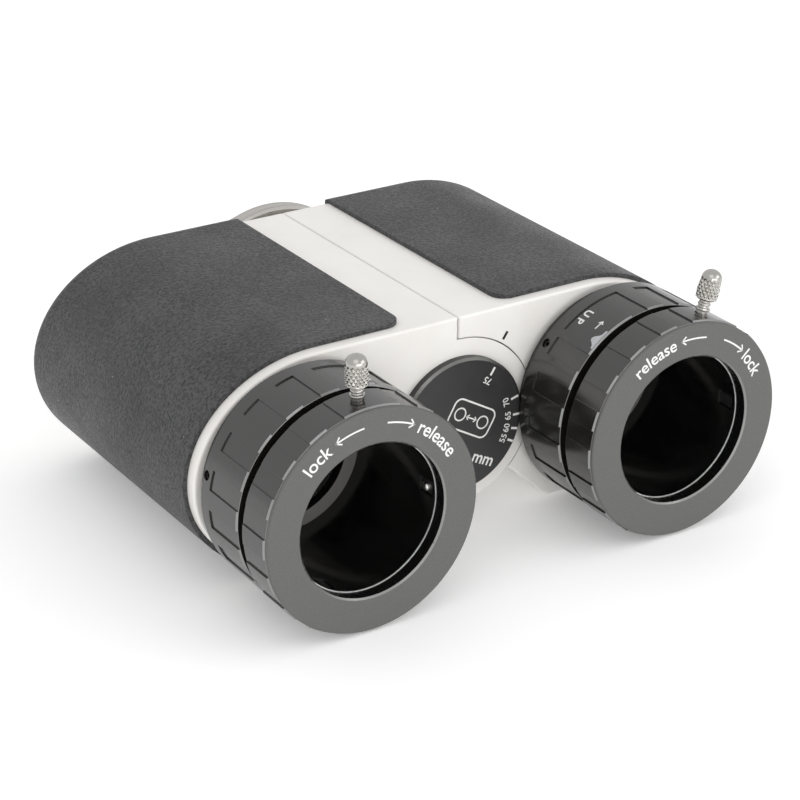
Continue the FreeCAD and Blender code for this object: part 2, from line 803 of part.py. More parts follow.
def make_base(word, side):
    """Flanged tube screwed to the housing; the sleeve slides in it, the collar turns on it."""
    name = word + "_eyepiece_base"
    bore = d.sleeve_outer + d.running_gap
    groove = d.grub_station
    body = turned(name, [
        (bore, d.base_back),
        (d.base_outer, d.base_back),
        (d.base_outer, d.front_face),
        (d.base_seat, d.front_face),
        (d.base_seat, d.front_face + d.flange_lift),
        (d.base_flange, d.front_face + d.flange_lift),
        (d.base_flange, d.base_flange_front - 0.3),
        (d.base_flange - 0.3, d.base_flange_front),
        (d.base_outer, d.base_flange_front),
        (d.base_outer, groove - 1),
        (d.base_outer - 0.4, groove - 1),
        (d.base_outer - 0.4, groove + 1),
        (d.base_outer, groove + 1),
        (d.base_outer, d.base_front),
        (bore, d.base_front),
    ], in_front(side * d.arm_length))
    for angle in (60, 180, 300):
        x, y = along(20.3, angle)
        pocket_circle(body, -side * x, y, size(1.5), d.base_flange_front - 1.2, d.base_flange_front + 1)
        pocket_circle(body, -side * x, y, size(0.9), d.front_face - 1, d.base_flange_front)
    radial_hole(body, size(1.0), size(84), -90)
    keep(body)
    screws = []
    for number, (x, y) in enumerate(base_screw_places(side), start=1):
        label = "%s_base_screw_%d" % (word, number)
        x = x + size(0)
        head = cylinder(label + "_head", 1.45, d.base_flange_front - 1.2, d.base_flange_front - 0.1, x, y)
        socket = cylinder(label + "_socket", 0.7, d.base_flange_front - 0.7, d.base_flange_front, x, y)
        shank = cylinder(label + "_shank", 0.8, d.front_inside + 0.2, d.base_flange_front - 1.2, x, y)
        screws.append(fuse(label, [cut(label + "_cap", head, [socket]), shank]))
    group = doc.addObject("Part::Compound", word + "_base_screws")
    group.Links = screws
    keep(group)
    pin = new_body(word + "_guide_pin", in_front(side * d.arm_length))
    sketch = new_sketch(pin, "XZ_Plane", size(16.65))
    draw_circle(sketch, 0, 84, 0.98)
    add_feature(pin, "Pad", sketch, Length=d.base_outer - 16.65)
    keep(pin)


def make_collar(word, side):
    """Focusing collar: turns on the base and drives the sleeve in or out."""
    angle = d.panel_angle_left if side == LEFT else d.panel_angle_right
    name = word + "_focus_collar"
    bore = d.base_outer + d.running_gap
    thread = d.sleeve_outer + d.running_gap
    body = turned(name, [
        (bore, d.collar_back),
        (d.collar_radius - 0.4, d.collar_back),
        (d.collar_radius, d.collar_back + 0.4),
        (d.collar_radius, d.collar_front - 0.35),
        (d.collar_radius - 0.35, d.collar_front),
        (d.shoulder_radius + 0.4, d.collar_front),
        (d.shoulder_radius + 0.4, d.sleeve_shoulder - 1.7),
        (thread, d.sleeve_shoulder - 1.7),
        (thread, d.base_front + 0.2),
        (bore, d.base_front + 0.2),
    ], in_front(side * d.arm_length, angle.value))
    floor = d.collar_radius - d.flute_depth
    outside = d.collar_radius + 1
    panel = new_sketch(body, "XZ_Plane")
    draw_outline(panel, tube_outline(floor, outside, d.collar_flute_back, d.collar_front - 2.6))
    add_feature(body, "Groove", panel, ReferenceAxis=(panel, ["V_Axis"]), Angle=d.panel_width, Midplane=True)
    turn = 22.5 if side == RIGHT else 17.5
    flute = new_sketch(body, "XZ_Plane", 0, turn)
    draw_outline(flute, tube_outline(floor, outside, d.collar_flute_back, d.collar_front + 1))
    groove = add_feature(body, "Groove", flute, ReferenceAxis=(flute, ["V_Axis"]),
                         Angle=d.flute_width, Midplane=True)
    repeat_round(body, groove, 17, 20)
    hole = radial_hole(body, size(1.0), d.grub_station, side * d.grub_offset.value)
    repeat_round(body, hole, 3, 120)
    keep(body)

    screws = []
    for step in range(3):
        label = "%s_grub_screw_%d" % (word, step + 1)
        place = in_front(side * d.arm_length, angle.value + side * d.grub_offset.value + 120 * step)
        shank = radial_cylinder(label + "_shank", 0.95, d.base_outer - 0.3, d.collar_radius - 0.5,
                                d.grub_station, place)
        socket = radial_cylinder(label + "_socket", 0.5, d.collar_radius - 2, d.collar_radius,
                                 d.grub_station, place)
        screws.append(cut(label, shank, [socket]))
    group = doc.addObject("Part::Compound", word + "_grub_screws")
    group.Links = screws
    keep(group)


def radial_cylinder(name, radius, inner, outer, station, place):
    """A cylinder that points away from the axis of a placement, between two radii."""
    item = doc.addObject("Part::Cylinder", name)
    bind(item, "Radius", radius)
    bind(item, "Height", outer - inner)
    start = Placement(Vector(size(inner).value, 0, size(station).value), Rotation(Vector(0, 1, 0), 90))
    item.Placement = place * start
    return item


def make_sleeve(word, side):
    """Sliding eyepiece socket with three pad slots and a guide slot."""
    name = word + "_eyepiece_sleeve"
    seat = d.seat_radius
    clip = d.sleeve_front - 0.8
    body = turned(name, [
        (d.stop_radius, d.sleeve_back),
        (d.sleeve_outer, d.sleeve_back),
        (d.sleeve_outer, d.sleeve_shoulder),
        (d.shoulder_radius, d.sleeve_shoulder),
        (d.shoulder_radius, d.lock_back - 0.1),
        (seat, d.lock_back - 0.1),
        (seat, clip),
        (seat - 0.6, clip),
        (seat - 0.6, clip + 0.6),
        (seat, clip + 0.6),
        (seat, d.sleeve_front),
        (d.socket_radius, d.sleeve_front),
        (d.socket_radius, d.socket_floor),
        (d.stop_radius + 0.6, d.socket_floor),
    ], in_front(side * d.arm_length, d.pad_angle.value))
    half = d.pad_width / 2 + 0.05
    slot = pocket_outline(body, [(size(15), -half), (size(22), -half), (size(22), half), (size(15), half)],
                          d.pad_back - 0.05, d.pad_front + 0.05)
    repeat_round(body, slot, 3, 120)
    keyway = new_sketch(body, "XZ_Plane", size(16.5), -d.pad_angle.value)
    draw_outline(keyway, [(-1.1, 77.8), (1.1, 77.8), (1.1, 86.2), (-1.1, 86.2)])
    add_feature(body, "Pocket", keyway, Length=5, Reversed=True)
    keep(body)
    ring = turned(word + "_retaining_clip", tube_outline(seat - 0.55, seat + 1.2, clip + 0.05, clip + 0.55),
                  in_front(side * d.arm_length))
    opening = [(seat - 2, -2), (seat + 3, -2), (seat + 3, 2), (seat - 2, 2)]
    pocket_outline(ring, opening, clip - 1, clip + 1)
    keep(ring)


def make_lock(word, side):
    """Lock ring with its cams, printed face ring and lever screw."""
    angle = d.lever_angle_left if side == LEFT else d.lever_angle_right
    name = word + "_lock_ring"
    place = in_front(side * d.arm_length, angle.value)
    bore = d.seat_radius + d.running_gap
    clip_back = d.sleeve_front - 0.9
    nose = d.sleeve_front + 0.1
    land = d.land_radius
    body = turned(name, [
        (bore, d.lock_back),
        (land - 0.4, d.lock_back),
        (land, d.lock_back + 0.4),
        (land, d.lock_front - 0.4),
        (land - 0.4, d.lock_front),
        (size(22.05), d.lock_front),
        (size(22.05), nose),
        (d.shoulder_radius, nose),
        (d.shoulder_radius, clip_back),
        (bore, clip_back),
    ], place)
    relative = d.pad_angle - angle
    x, y = along(d.cam_offset, relative)
    cam = pocket_circle(body, x, y, d.cam_radius, d.pad_back - 0.15, clip_back)
    repeat_round(body, cam, 3, 120)
    floor = land - d.flute_depth
    flute = new_sketch(body, "XZ_Plane", 0, 18.0)
    draw_outline(flute, tube_outline(floor, land + 1, d.lock_back - 1, d.lock_front + 1))
    groove = add_feature(body, "Groove", flute, ReferenceAxis=(flute, ["V_Axis"]),
                         Angle=d.flute_width, Midplane=True)
    repeat_round(body, groove, 17, 20)
    radial_hole(body, size(1.3), d.lever_station)
    keep(body)

    keep(turned(word + "_face_ring", [
        (d.lip_radius, nose),
        (size(22.0), nose),
        (size(22.0), d.lock_front),
        (land - d.flute_depth, d.lock_front),
        (land - d.flute_depth, d.face - 0.25),
        (land - d.flute_depth - 0.25, d.face),
        (d.lip_radius + d.face_bevel, d.face),
        (d.lip_radius, d.face - d.face_bevel),
    ], place))

    lever = new_body(word + "_lever_screw", place)
    sketch = new_sketch(lever, "XZ_Plane")
    neck, head = land + 0.9, land + 2.9
    station = d.lever_station
    draw_outline(sketch, [
        (size(21), station),
        (size(21), station + 1.2),
        (neck, station + 1.2),
        (neck, station + 1.45),
        (head, station + 1.45),
        (head, station + 1.8),
        (head + 1.1, station + 2.25),
        (head + 4.6, station + 2.2),
        (head + 5.9, station + 1.5),
        (head + 6.5, station),
    ])
    axis = sketch.addGeometry(Part.LineSegment(Vector(0, station.value, 0), Vector(10, station.value, 0)), True)
    pin_down(sketch, axis, 1, 0, station)
    pin_down(sketch, axis, 2, 10, station)
    add_feature(lever, "Revolution", sketch, ReferenceAxis=(sketch, ["Axis0"]), Angle=360)
    keep(lever)


def make_pads(word, side):
    """Three clamp pads in the sleeve's slots, pushed inwards by the lock ring's cams."""
    half = d.pad_width / 2
    for number in range(3):
        body = new_body("%s_clamp_pad_%d" % (word, number + 1),
                        in_front(side * d.arm_length, d.pad_angle.value + 120 * number))
        inner, outer = d.socket_radius + 0.08, d.seat_radius + 0.35
        outline = [
            (inner + 0.25, -half),
            (outer - 0.7, -half),
            (outer, -half / 2),
            (outer, half / 2),
            (outer - 0.7, half),
            (inner + 0.25, half),
            (inner, half / 2),
            (inner, -half / 2),
        ]
        pad_outline(body, outline, d.pad_back, d.pad_front)
        keep(body)


# ---------------------------------------------------------------- build, check and write

def build():
    make_housings()
    make_covers()
    make_coverings()
    make_hinge()
    make_telescope_ring()
    make_optics()
    make_prism_cells()
    make_compensator_cell()
    for word, side in SIDES.items():
        make_base(word, side)
        make_collar(word, side)
        make_sleeve(word, side)
        make_lock(word, side)
        make_pads(word, side)
    doc.recompute()


def check():
    """Stop if any object failed or any sub-part's shape is empty or invalid."""
    faults = []
    for item in doc.Objects:
        if "Invalid" in item.State or "Error" in item.State:
            faults.append(item.Name + " failed")
    for part in parts:
        if part.Shape.isNull() or not part.Shape.isValid() or not part.Shape.Solids:
            faults.append(part.Label + " has no valid shape")
    if faults:
        raise SystemExit("\n".join(faults))


def write():
    os.makedirs("parts", exist_ok=True)
    for part in parts:
        part.Shape.exportStep("parts/%s.step" % part.Label)
    print(len(parts), "sub-parts written")


build()
check()
write()
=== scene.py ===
import json
import math

import bmesh
import bpy
from mathutils import Matrix, Vector


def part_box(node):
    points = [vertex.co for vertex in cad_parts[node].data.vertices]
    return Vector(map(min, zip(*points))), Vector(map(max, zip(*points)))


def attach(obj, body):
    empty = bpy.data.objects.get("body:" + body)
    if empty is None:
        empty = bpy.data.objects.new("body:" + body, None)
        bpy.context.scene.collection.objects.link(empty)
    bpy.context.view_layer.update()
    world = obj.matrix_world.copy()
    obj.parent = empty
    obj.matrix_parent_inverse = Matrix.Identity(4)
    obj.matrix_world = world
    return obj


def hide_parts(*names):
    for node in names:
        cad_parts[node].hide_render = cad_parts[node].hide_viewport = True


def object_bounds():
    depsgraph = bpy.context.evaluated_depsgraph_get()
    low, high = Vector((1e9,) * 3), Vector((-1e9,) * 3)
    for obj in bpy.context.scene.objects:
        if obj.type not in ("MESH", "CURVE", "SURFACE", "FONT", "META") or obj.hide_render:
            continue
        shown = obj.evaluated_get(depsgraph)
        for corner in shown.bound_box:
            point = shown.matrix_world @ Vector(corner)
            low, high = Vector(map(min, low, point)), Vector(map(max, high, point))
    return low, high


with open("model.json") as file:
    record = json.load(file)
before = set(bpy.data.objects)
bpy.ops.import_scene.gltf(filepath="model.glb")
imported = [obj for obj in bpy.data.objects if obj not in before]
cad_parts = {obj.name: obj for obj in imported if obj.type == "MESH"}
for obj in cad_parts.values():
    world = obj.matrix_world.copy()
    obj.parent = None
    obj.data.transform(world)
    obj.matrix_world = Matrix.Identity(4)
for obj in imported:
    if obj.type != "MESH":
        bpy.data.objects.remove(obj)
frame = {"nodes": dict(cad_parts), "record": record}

CAD_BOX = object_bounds()
MM = 0.001

# Lengths are in millimetres and angles in degrees unless a name or comment says otherwise.
# X runs from the left eyepiece to the right one, Z is up, and forward (to the eyes) is along -Y.

# ---------------------------------------------------------------- places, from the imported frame

MOUNTS = {mount["name"]: mount for mount in frame["record"]["mounts"]}
SIDES = {"left": -1, "right": 1}
ARM = MOUNTS["right_eyepiece_socket"]["pos_m"][0] / MM      # from the hinge to an eyepiece's axis
CHAMFER = 0.45              # a little wider than the edge chamfers, so that it finds their faces
RAISED = 0.02               # thickness of printed marks


def node(name):
    return frame["nodes"][name]


def points_of(name):
    """The corners of a node's mesh."""
    return [vertex.co / MM for vertex in node(name).data.vertices]


def axis_x(word):
    """Where the eyepiece axis of a side is across the viewer."""
    return SIDES[word] * ARM


def socket_radius(word):
    return MOUNTS[word + "_eyepiece_socket"]["dims"]["r_mm"]


def from_axis(point, x=0.0):
    """Distance from an axis along Y."""
    return math.hypot(point.x - x, point.z)


def station(name, front=False):
    """How far forward of the telescope shoulder a node starts, or ends if front is true."""
    low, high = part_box(name)
    return (-low.y if front else -high.y) / MM


def rim_radius(name):
    """Half the width of a round node."""
    low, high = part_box(name)
    return (high.x - low.x) / 2 / MM


# ---------------------------------------------------------------- material building blocks

class Shader:
    """A Principled material and short ways to add and join its nodes."""

    def __init__(self, name, color, roughness, **values):
        self.material = bpy.data.materials.new(name)
        self.material.use_nodes = True
        self.tree = self.material.node_tree
        self.surface = self.tree.nodes["Principled BSDF"]
        self.surface.inputs["Base Color"].default_value = (*color, 1)
        self.surface.inputs["Roughness"].default_value = roughness
        for socket, value in values.items():
            self.surface.inputs[socket.replace("_", " ")].default_value = value
        self.place = None

    def add(self, kind, **settings):
        made = self.tree.nodes.new("ShaderNode" + kind)
        for key, value in settings.items():
            setattr(made, key, value)
        return made

    def join(self, source, target):
        self.tree.links.new(source, target)

    def feed(self, target, value):
        if isinstance(value, bpy.types.NodeSocket):
            self.join(value, target)
        else:
            target.default_value = value

    def spot(self):
        """The point on the surface, in millimetres."""
        if self.place is None:
            coordinates = self.add("TexCoord")
            scaled = self.add("VectorMath", operation="SCALE")
            self.join(coordinates.outputs["Object"], scaled.inputs[0])
            scaled.inputs["Scale"].default_value = 1 / MM
            self.place = scaled.outputs["Vector"]
        return self.place

    def noise(self, size, detail=3, spot=None, roughness=0.5):
        """Noise whose features are about that size."""
        made = self.add("TexNoise")
        made.inputs["Scale"].default_value = 1 / size
        made.inputs["Detail"].default_value = detail
        made.inputs["Roughness"].default_value = roughness
        self.join(spot or self.spot(), made.inputs["Vector"])
        return made.outputs["Fac"]

    def cells(self, size, feature="F1"):
        """Distance from the middles of cells of about that size."""
        made = self.add("TexVoronoi", feature=feature)
        made.inputs["Scale"].default_value = 1 / size
        self.join(self.spot(), made.inputs["Vector"])
        return made.outputs["Distance"]

    def turning_marks(self, x, size):
        """Fine rings about an axis along Y, as streaks in radius and depth only."""
        moved = self.add("VectorMath", operation="SUBTRACT")
        self.join(self.spot(), moved.inputs[0])
        moved.inputs[1].default_value = (x, 0, 0)
        split = self.add("SeparateXYZ")
        self.join(moved.outputs["Vector"], split.inputs["Vector"])
        squares = self.calculate("MULTIPLY", split.outputs["X"], split.outputs["X"])
        squares = self.calculate("MULTIPLY_ADD", split.outputs["Z"], split.outputs["Z"], squares)
        joined = self.add("CombineXYZ")
        self.join(self.calculate("SQRT", squares), joined.inputs["X"])
        self.join(split.outputs["Y"], joined.inputs["Y"])
        return self.noise(size, 2, joined.outputs["Vector"])

    def calculate(self, operation, *values):
        made = self.add("Math", operation=operation)
        for target, value in zip(made.inputs, values):
            self.feed(target, value)
        return made.outputs["Value"]

    def remap(self, value, low, high, out_low, out_high):
        made = self.add("MapRange")
        for target, amount in zip(made.inputs, (value, low, high, out_low, out_high)):
            self.feed(target, amount)
        return made.outputs["Result"]

    def blend_color(self, factor, first, second):
        made = self.add("Mix", data_type="RGBA")
        self.feed(made.inputs["Factor"], factor)
        sockets = [item for item in made.inputs if item.type == "RGBA"]
        for target, color in zip(sockets, (first, second)):
            self.feed(target, color if isinstance(color, bpy.types.NodeSocket) else (*color, 1))
        return [item for item in made.outputs if item.type == "RGBA"][0]

    def rough(self, value):
        self.join(value, self.surface.inputs["Roughness"])

    def color(self, value):
        self.join(value, self.surface.inputs["Base Color"])

    def bump(self, height, distance, strength, below=None):
        """Bump of that distance, over the normal given as below."""
        made = self.add("Bump")
        made.inputs["Strength"].default_value = strength
        made.inputs["Distance"].default_value = distance * MM
        self.join(height, made.inputs["Height"])
        if below is not None:
            self.join(below, made.inputs["Normal"])
        self.join(made.outputs["Normal"], self.surface.inputs["Normal"])

    def round_edges(self, radius):
        """A normal that softens the shading of sharp edges, to go under a bump."""
        bevel = self.add("Bevel", samples=4)
        bevel.inputs["Radius"].default_value = radius * MM
        return bevel.outputs["Normal"]


# ---------------------------------------------------------------- materials

def white_paint():
    m = Shader("white_paint", (0.85, 0.83, 0.8), 0.4, Coat_Weight=0.12, Coat_Roughness=0.3)
    cloud = m.remap(m.noise(9, 4), 0.35, 0.7, 0, 1)
    m.color(m.blend_color(cloud, (0.87, 0.85, 0.82), (0.84, 0.815, 0.78)))
    grain = m.noise(0.35, 4, roughness=0.6)
    m.rough(m.remap(grain, 0.3, 0.7, 0.38, 0.52))
    m.bump(grain, 0.02, 0.5, below=m.round_edges(0.25))
    return m.material


def leatherette():
    """Pebbled grain: small cells broken up by wrinkles, uneven in tone and sheen, darker in the grain's
    hollows as painted shade, with bright specks that are partly dust and partly painted glints.
    """
    m = Shader("leatherette", (0.05, 0.05, 0.052), 0.5, Specular_IOR_Level=0.45)
    wrinkles = m.noise(0.6, 6, roughness=0.8)
    pebbles = m.cells(0.6, "SMOOTH_F1")
    height = m.calculate("MULTIPLY_ADD", wrinkles, 1.3, pebbles)
    uneven = m.remap(m.noise(16, 2), 0.35, 0.65, 0.8, 1.2)
    # The colour follows the grain's height: painted shade in the hollows, lighter on the raised tops.
    shade = m.calculate("MULTIPLY", m.remap(height, 0.75, 1.3, 0, 1), uneven)
    base = m.blend_color(shade, (0.011, 0.011, 0.012), (0.07, 0.07, 0.072))
    # Bright grey specks: partly dust, partly painted glints.
    dust_and_glints = m.remap(m.cells(5.5), 0.02, 0.035, 1, 0)
    m.color(m.blend_color(dust_and_glints, base, (0.4, 0.4, 0.4)))
    fine = m.remap(m.noise(0.5, 3), 0.3, 0.7, 0.36, 0.56)
    broad = m.remap(m.noise(20, 2), 0.35, 0.65, 0.85, 1.1)
    m.rough(m.calculate("MULTIPLY", fine, broad))
    m.bump(height, 0.22, 1.0)
    return m.material


def anodised(name, x, color, roughness):
    """Turned and anodised aluminium about an axis at that x."""
    m = Shader(name, color, roughness, Specular_IOR_Level=1.0)
    m.rough(m.remap(m.noise(2.5, 4), 0.3, 0.7, roughness * 0.8, roughness * 1.25))
    m.bump(m.turning_marks(x, 0.12), 0.004, 0.5, below=m.round_edges(0.12))
    return m.material


def blasted(name, color):
    """Bead-blasted and anodised aluminium."""
    m = Shader(name, color, 0.5, Metallic=0.2)
    speck = m.remap(m.noise(0.35, 5, roughness=0.7), 0.4, 0.62, 0, 1)
    m.color(m.blend_color(speck, dimmed(color), color))
    grain = m.noise(0.18, 3)
    m.rough(m.remap(grain, 0.3, 0.7, 0.42, 0.58))
    m.bump(grain, 0.015, 0.5, below=m.round_edges(0.2))
    return m.material


def bright(name, color, roughness=0.25, grain=0.01):
    """Bare or plated metal."""
    m = Shader(name, color, roughness, Metallic=1.0)
    m.rough(m.remap(m.noise(0.8, 4), 0.3, 0.7, roughness * 0.7, roughness * 1.4))
    m.bump(m.noise(0.15, 3), grain, 0.4, below=m.round_edges(0.06))
    return m.material


def turned_silver(name, x):
    """Bare aluminium turned about an axis at that x."""
    m = Shader(name, (0.55, 0.53, 0.5), 0.3, Metallic=1.0, Anisotropic=0.5)
    lines = m.turning_marks(x, 0.15)
    m.rough(m.remap(lines, 0.3, 0.7, 0.22, 0.42))
    m.bump(lines, 0.02, 0.5, below=m.round_edges(0.12))
    return m.material


def printed(name, color):
    """Screen-printed ink, slightly uneven."""
    m = Shader(name, color, 0.5)
    thin = m.remap(m.noise(0.25, 4), 0.35, 0.6, 0, 1)
    m.color(m.blend_color(thin, dimmed(color), color))
    m.rough(m.remap(m.noise(0.1, 2), 0.3, 0.7, 0.4, 0.6))
    return m.material


def plain(name, color, roughness, **values):
    """Any other surface: an even colour with slightly uneven gloss."""
    m = Shader(name, color, roughness, **values)
    m.rough(m.remap(m.noise(1.5, 4), 0.3, 0.7, roughness * 0.85, roughness * 1.2))
    m.bump(m.noise(0.3, 3), 0.01, 0.4, below=m.round_edges(0.1))
    return m.material


def dimmed(color):
    return tuple(part * 0.86 for part in color)


STEEL = bright("bright_steel", (0.75, 0.74, 0.72))
# Bright metal for the sleeve lips: a painted highlight where the bore's edge catches the light.
LIP_HIGHLIGHT_METAL = bright("lip_highlight", (0.8, 0.8, 0.79), 0.35, 0.0005)
PAD_STEEL = bright("pad_steel", (0.16, 0.16, 0.16), 0.4, 0.002)
NICKEL = bright("nickel_plate", (0.46, 0.445, 0.42), 0.22)
BLACK_STEEL = bright("black_steel", (0.06, 0.06, 0.062), 0.35)
SILVER = turned_silver("silver", 0)
WORN_METAL = bright("worn_metal", (0.55, 0.56, 0.58), 0.4, 0.004)
WHITE_INK = printed("white_ink", (0.82, 0.82, 0.8))
BLACK_INK = printed("black_ink", (0.012, 0.012, 0.012))


# ---------------------------------------------------------------- dressing the CAD nodes

def both(*names):
    """The names with each side's word before them."""
    return ["%s_%s" % (word, name) for word in SIDES for name in names]


def dress(names, material):
    for name in names:
        mesh = node(name).data
        mesh.materials.clear()
        mesh.materials.append(material)


def dress_where(name, material, test):
    """Give the faces of a node that pass a test on their centre and normal their own material."""
    mesh = node(name).data
    mesh.materials.append(material)
    for face in mesh.polygons:
        if test(face.center / MM, face.normal):
            face.material_index = len(mesh.materials) - 1


def slopes_forward(normal):
    """True for the faces of a chamfer or rounding on a front edge."""
    return 0.2 < -normal.y < 0.95


def bare_chamfers(word):
    """The front chamfers of both fluted rings are a lighter bare metal: partly worn through the black,
    partly a painted highlight along the edges.
    """
    # Lighter metal on the chamfers: part wear, part painted highlight.
    bare = bright(word + "_bare_metal_and_highlight", (0.3, 0.3, 0.3), 0.35)
    for name in (word + "_focus_collar", word + "_lock_ring"):
        rim = rim_radius(name) - CHAMFER
        front = station(name, front=True) - CHAMFER

        def on_chamfer(center, normal):
            outside = from_axis(center, axis_x(word)) > rim
            return outside and -center.y > front and slopes_forward(normal)

        dress_where(name, bare, on_chamfer)


def finish_face_ring(word):
    """Black inside the mouth, with a polished bevel between that and the grey face."""
    black = plain(word + "_mouth_black", (0.004, 0.004, 0.004), 0.25)
    lighter_edge = bright(word + "_worn_bevel", (0.3, 0.3, 0.29), 0.35)
    radius = socket_radius(word)

    def in_mouth(center, normal):
        return from_axis(center, axis_x(word)) < radius + 0.3 and abs(normal.y) < 0.2

    def on_bevel(center, normal):
        return from_axis(center, axis_x(word)) < radius + CHAMFER and slopes_forward(normal)

    dress_where(word + "_face_ring", black, in_mouth)
    dress_where(word + "_face_ring", lighter_edge, on_bevel)


def finish_dial():
    """The rounded rim of the dial is a lighter metal, a painted highlight for the bright reflection along
    its edge.
    """
    # Lighter metal on the rim: painted highlight.
    lighter_edge = bright("dial_rim", (0.2, 0.2, 0.19), 0.35)
    rim = rim_radius("scale_dial") - 0.6

    def on_rim(center, normal):
        return from_axis(center) > rim and slopes_forward(normal)

    dress_where("scale_dial", lighter_edge, on_rim)


def dull_shoulder(word):
    """The step at the bottom of each socket is matt and a lighter grey than the bore, painted lighter to
    make up for the little light that reaches it.
    """
    # Lighter grey: painted light standing in for light that hardly reaches the step.
    dull = plain(word + "_dull_step", (0.2, 0.19, 0.18), 0.7)
    bottom = -MOUNTS[word + "_eyepiece_socket"]["pos_m"][1] / MM
    back = station(word + "_eyepiece_sleeve")

    def on_step(center, normal):
        return normal.y < -0.5 and back + 0.5 < -center.y < bottom

    dress_where(word + "_eyepiece_sleeve", dull, on_step)


def dress_frame():
    dress(both("housing", "back_cover"), white_paint())
    dress(both("leather"), leatherette())
    for word in SIDES:
        gloss = anodised(word + "_gloss_black", axis_x(word), (0.011, 0.01, 0.009), 0.2)
        dress([word + "_focus_collar", word + "_lock_ring", word + "_eyepiece_base"], gloss)
        bore = anodised(word + "_bore_black", axis_x(word), (0.003, 0.003, 0.003), 0.18)
        dress([word + "_eyepiece_sleeve"], bore)
        dress([word + "_face_ring"], blasted(word + "_grey", (0.12, 0.121, 0.116)))
        bare_chamfers(word)
        finish_face_ring(word)
        dull_shoulder(word)
    dress(both("clamp_pad_1", "clamp_pad_2", "clamp_pad_3"), PAD_STEEL)
    dress(both("clamp_screws", "retaining_clip", "prism_clamp"), STEEL)
    dress(both("base_screws", "guide_pin"), BLACK_STEEL)
    dress(["scale_dial"], plain("dial_grey", (0.026, 0.026, 0.026), 0.4))
    finish_dial()
    dress(both("prism_cell") + ["compensator_cell", "entrance_baffle"],
          plain("black_cell", (0.02, 0.02, 0.02), 0.6))
    dress(["front_bearing", "rear_bearing", "dial_nut"], bright("bronze", (0.6, 0.4, 0.18), 0.3))
    dress(["friction_washer"], plain("washer", (0.8, 0.8, 0.76), 0.5))
    dress(both("prism") + ["splitter_wedge", "compensator"],
          plain("optical_glass", (0.9, 0.95, 0.95), 0.02, Transmission_Weight=1.0, IOR=1.52))


def soften_coverings():
    """Round the cut edges of the leather covering."""
    for name in both("leather"):
        modifiers = node(name).modifiers
        merge = modifiers.new("merge", "WELD")
        merge.merge_threshold = 0.001 * MM
        flat = modifiers.new("flat", "DECIMATE")
        flat.decimate_type = "DISSOLVE"
        flat.angle_limit = math.radians(0.2)
        bevel = modifiers.new("bevel", "BEVEL")
        bevel.width = 0.42 * MM
        bevel.segments = 4
        bevel.limit_method = "ANGLE"
        bevel.angle_limit = math.radians(50)


# ---------------------------------------------------------------- mesh building blocks

POINT = 0.02                # radius of the ring that closes a dome or cone


def new_piece(name, form, material, body, smooth_angle=None):
    """Turn a bmesh in millimetres into an object that rides a body."""
    bmesh.ops.remove_doubles(form, verts=form.verts, dist=0.001)
    bmesh.ops.recalc_face_normals(form, faces=form.faces)
    bmesh.ops.scale(form, vec=(MM, MM, MM), verts=form.verts)
    mesh = bpy.data.meshes.new(name)
    form.to_mesh(mesh)
    form.free()
    mesh.materials.append(material)
    if smooth_angle:
        mesh.shade_smooth()
        mesh.set_sharp_from_angle(angle=math.radians(smooth_angle))
    piece = bpy.data.objects.new(name, mesh)
    bpy.context.scene.collection.objects.link(piece)
    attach(piece, body)
    return piece


def skin(form, first, second):
    """Faces between two rings of points."""
    for step in range(len(first)):
        after = (step + 1) % len(first)
        form.faces.new((first[step], first[after], second[after], second[step]))


def sweep_rings(form, rings, steps, place):
    """A round skin. Each ring is (radius, height), its radius a number or a function of the turn."""
    rows = []
    for radius, height in rings:
        row = []
        for step in range(steps):
            turn = 2 * math.pi * step / steps
            reach = radius(turn) if callable(radius) else radius
            point = Vector((reach * math.cos(turn), reach * math.sin(turn), height))
            row.append(form.verts.new(place @ point))
        rows.append(row)
    for first, second in zip(rows, rows[1:]):
        skin(form, first, second)
    return rows


def close_ends(form, rows):
    form.faces.new(rows[0])
    form.faces.new(rows[-1])


def pointing(direction, origin):
    """A matrix whose z axis points along a direction from an origin."""
    return Matrix.Translation(origin) @ Vector(direction).to_track_quat("Z", "Y").to_matrix().to_4x4()


def islands(name):
    """The separate solids of a node, each as a list of points."""
    form = bmesh.new()
    form.from_mesh(node(name).data)
    bmesh.ops.remove_doubles(form, verts=form.verts, dist=0.001 * MM)
    groups = []
    seen = set()
    for start in form.verts:
        if start in seen:
            continue
        seen.add(start)
        stack = [start]
        group = []
        while stack:
            vertex = stack.pop()
            group.append(vertex.co / MM)
            for edge in vertex.link_edges:
                other = edge.other_vert(vertex)
                if other not in seen:
                    seen.add(other)
                    stack.append(other)
        groups.append(group)
    form.free()
    return groups


def triangle_wave(value):
    return 1 - abs(2 * (value % 1) - 1)


# ---------------------------------------------------------------- lever screws

HEAD_LENGTH = 6.5
KNURL_COUNT = 14            # diamonds round the head
KNURL_PITCH = 1.35          # and along it
KNURL_DEPTH = 0.3
KNURL_RADIUS = 2.14         # at its ends
KNURL_SWELL = 0.2           # how much thicker it is in the middle
KNURL_ROWS = 64
DOME_HEIGHT = 1.9
DOME_ROWS = 12
LEVER_STEPS = 204
# The shank, its two collars and the foot of the head, as (radius, height above the head's foot).
SHANK_PROFILE = [
    (1.2, -5.6), (1.2, -2.3), (1.5, -2.2), (1.55, -1.9), (1.5, -1.65), (1.12, -1.55), (1.1, -1.2),
    (1.3, -1.1), (1.34, -0.85), (1.3, -0.6), (1.15, -0.5), (1.15, -0.15), (1.45, 0), (1.8, 0.05),
    (1.95, 0.3),
]


